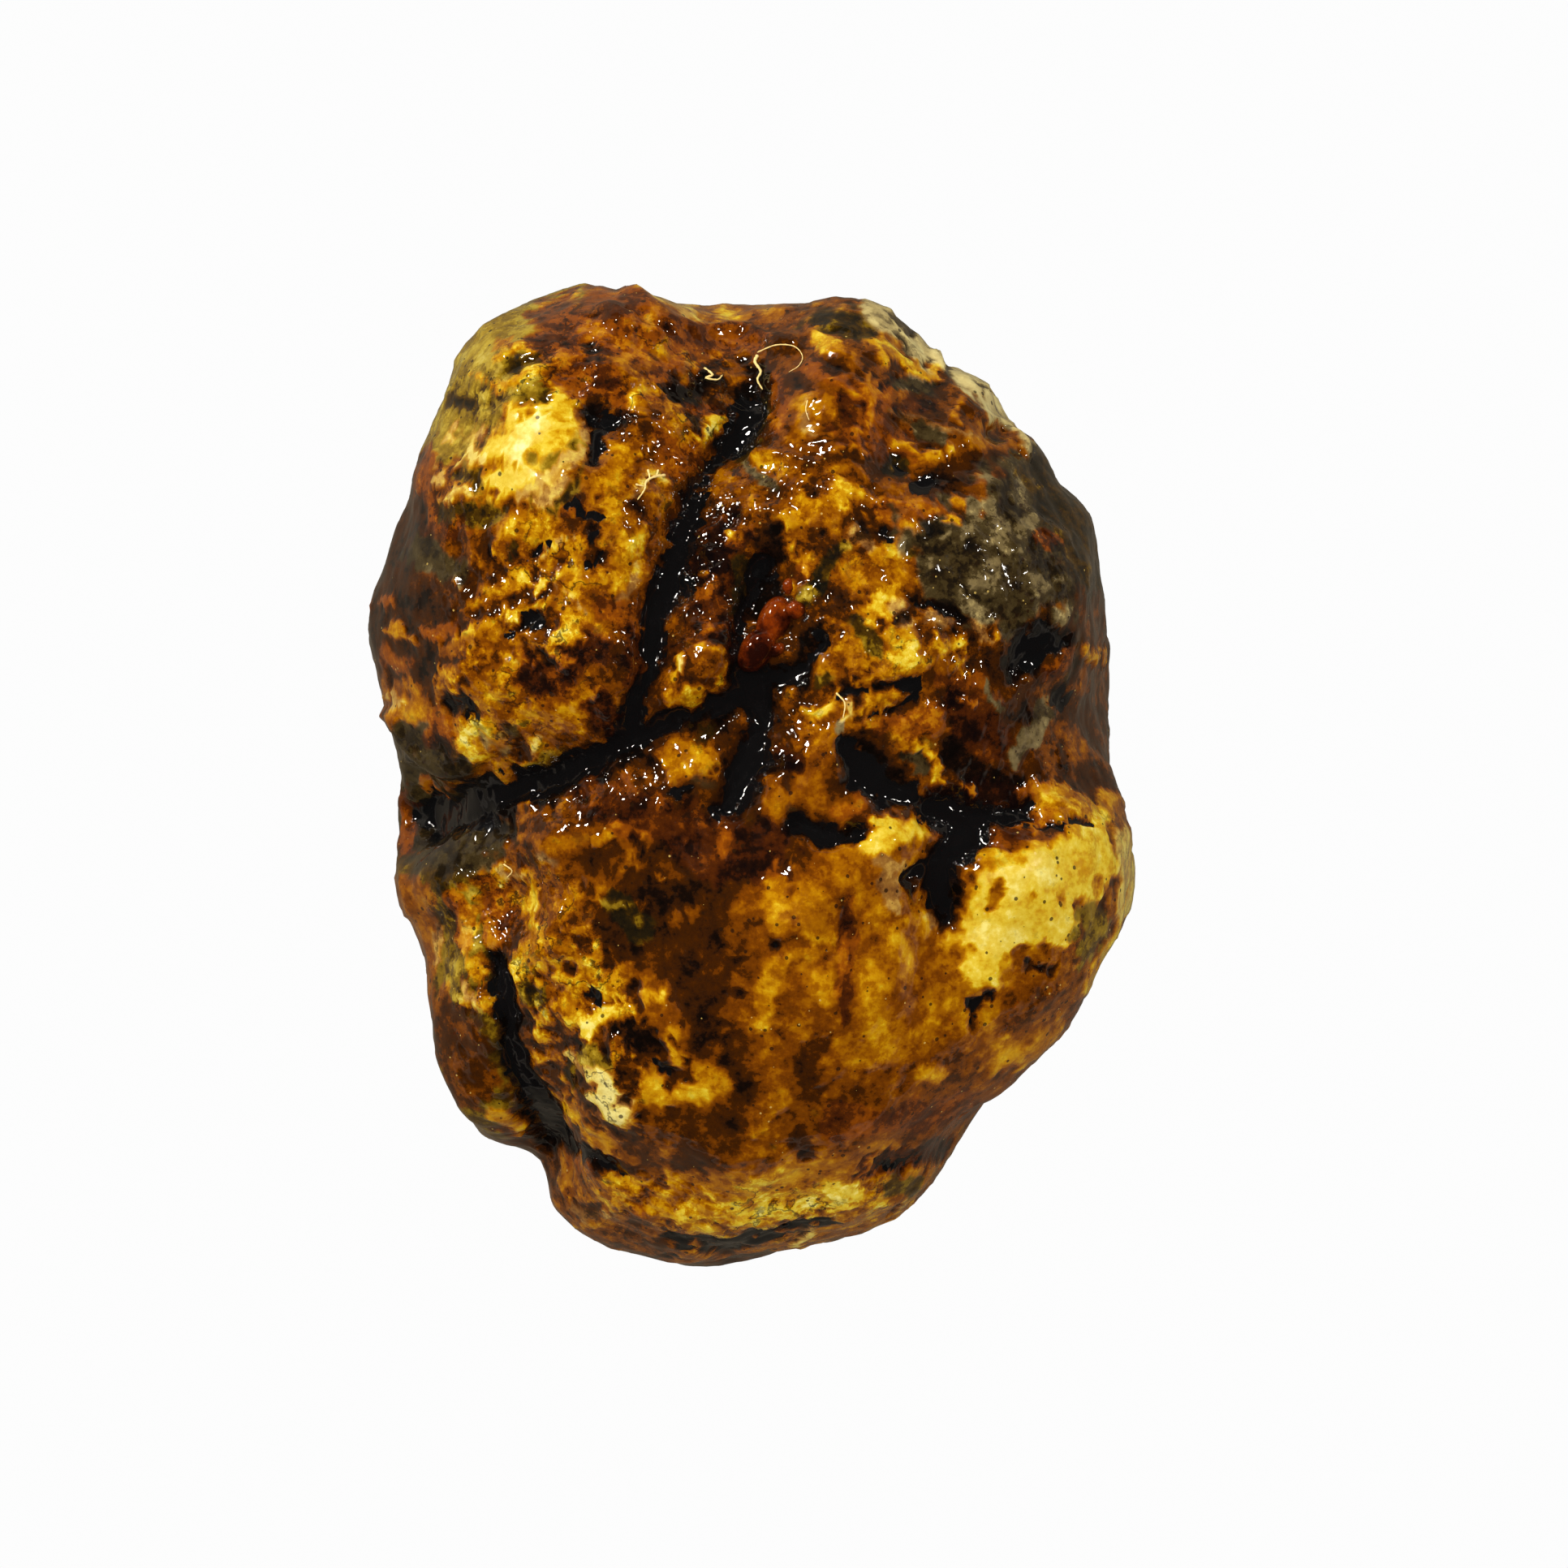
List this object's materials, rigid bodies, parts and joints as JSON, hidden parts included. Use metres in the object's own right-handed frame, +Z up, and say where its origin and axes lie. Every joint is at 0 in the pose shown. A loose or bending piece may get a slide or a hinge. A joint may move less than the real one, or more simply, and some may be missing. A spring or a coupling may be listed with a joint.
{
  "type": "raw amber nugget",
  "caption": "Raw amber nugget: an irregular rounded lump of mottled fossil resin with deep clefts, lying on a worn flat.",
  "frame": {"origin": "centre of the bounding box's bottom, on the plane of the worn flat that the nugget lies on", "axes": "+Z up off the worn flat, +Y along the nugget's length, +X across its width"},
  "size_m": [0.0464, 0.06, 0.031],
  "materials": {
    "amber": "glossy, wet-looking mottled resin"
  },
  "bodies": {
    "root": {"amber_nugget": "amber"}
  },
  "joints": []
}
